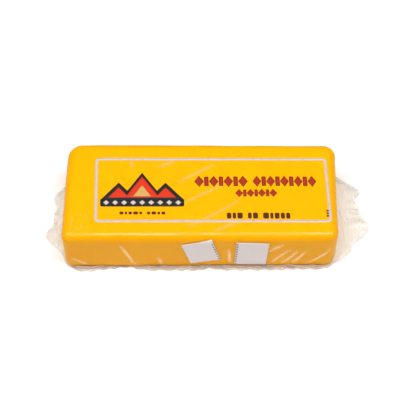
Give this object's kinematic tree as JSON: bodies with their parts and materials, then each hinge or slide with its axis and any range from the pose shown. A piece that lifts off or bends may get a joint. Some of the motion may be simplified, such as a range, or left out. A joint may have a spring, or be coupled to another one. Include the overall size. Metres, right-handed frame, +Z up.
{
  "type": "cheddar block",
  "caption": "Bar of cheddar sealed tight in clear film, with a wavy hem round its foot, crumpled film flaps at its ends and paper labels on its front. Lies flat on a shelf or board.",
  "frame": {"origin": "middle of the bar's flat underside, on the surface it lies on", "axes": "+X along the bar, to the right as seen from its labelled front; +Y from the front to the back; +Z up"},
  "size_m": [0.1634, 0.0611, 0.028],
  "materials": {
    "cheddar": "smooth yellow cheddar under tight clear film",
    "clear_film": "clear heat-sealed film, crumpled, slightly milky where two layers meet",
    "label_paper": "matt off-white label paper"
  },
  "bodies": {
    "root": {"cheese_block": "cheddar", "film_margin": "clear_film", "label_left": "label_paper", "label_right": "label_paper"}
  },
  "joints": []
}
